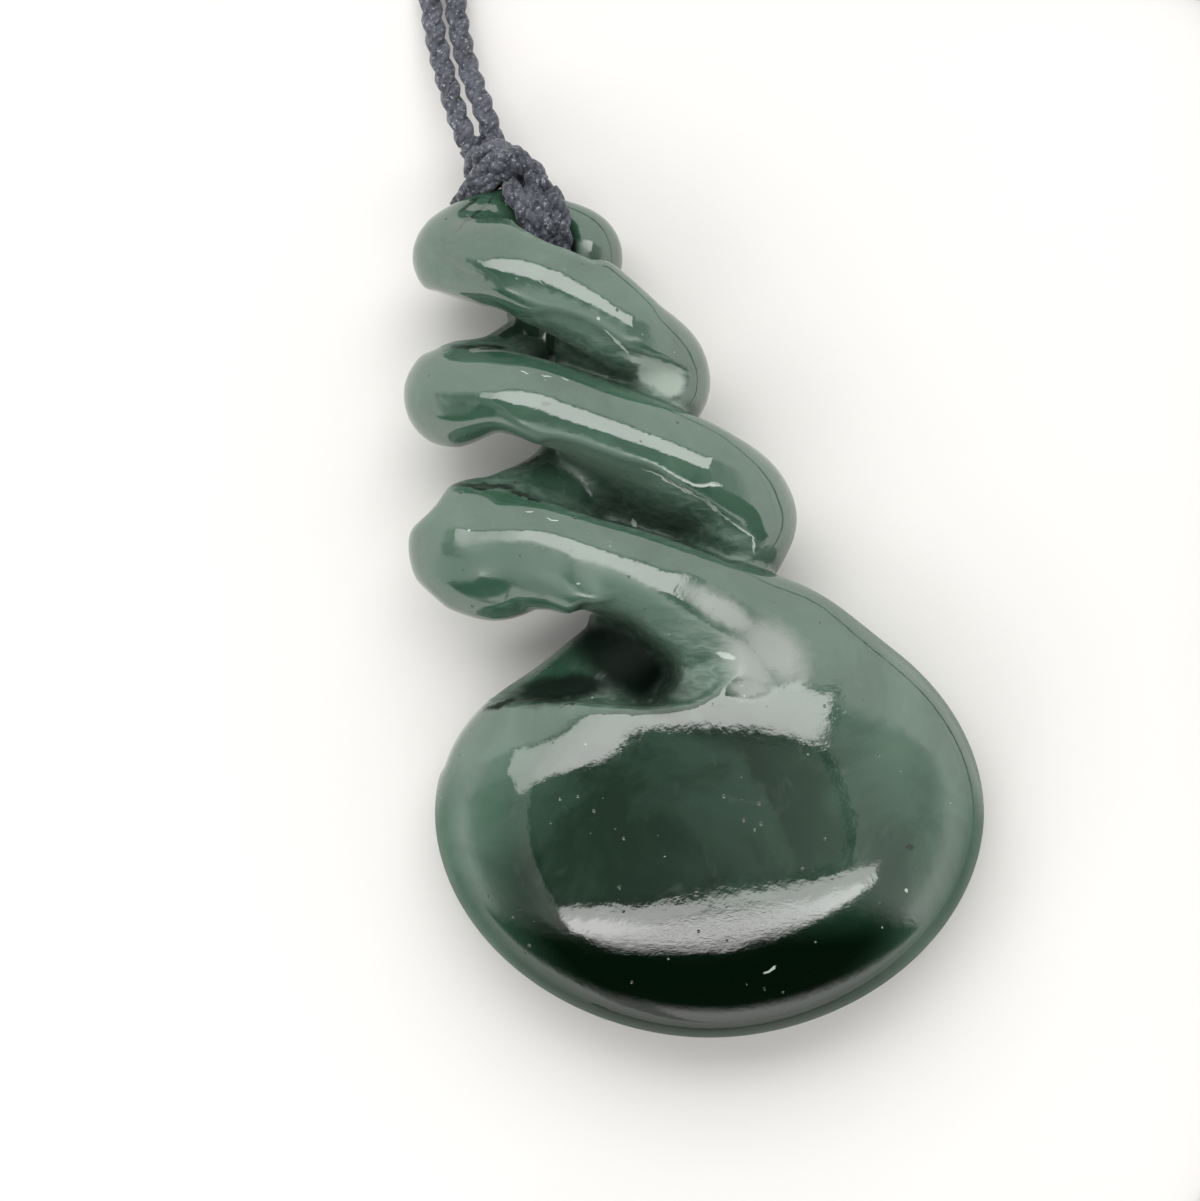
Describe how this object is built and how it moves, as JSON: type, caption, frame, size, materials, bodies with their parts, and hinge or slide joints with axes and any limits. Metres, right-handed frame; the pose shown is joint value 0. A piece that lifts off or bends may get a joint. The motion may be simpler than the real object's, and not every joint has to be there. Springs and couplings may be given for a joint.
{
  "type": "triple twist pendant",
  "caption": "Carved stone neck pendant: a rounded strand winds round itself into a pillow-shaped drop, lashed through a slot at its top to a doubled plaited neck cord.",
  "frame": {"origin": "middle of the stone's box at its back, on the surface that it lies on", "axes": "+Z out of the stone's front, +Y towards the cord as the stone lies in view, +X to its right; the stone leans about 14 degrees from +Y"},
  "size_m": [0.061, 0.0961, 0.0131],
  "materials": {
    "stone": "polished green nephrite",
    "cord": "waxed navy plait"
  },
  "bodies": {
    "root": {"stone": "stone", "lashing": "cord", "head_knot": "cord", "cord_left": "cord", "cord_right": "cord", "end_knot": "cord"}
  },
  "joints": []
}
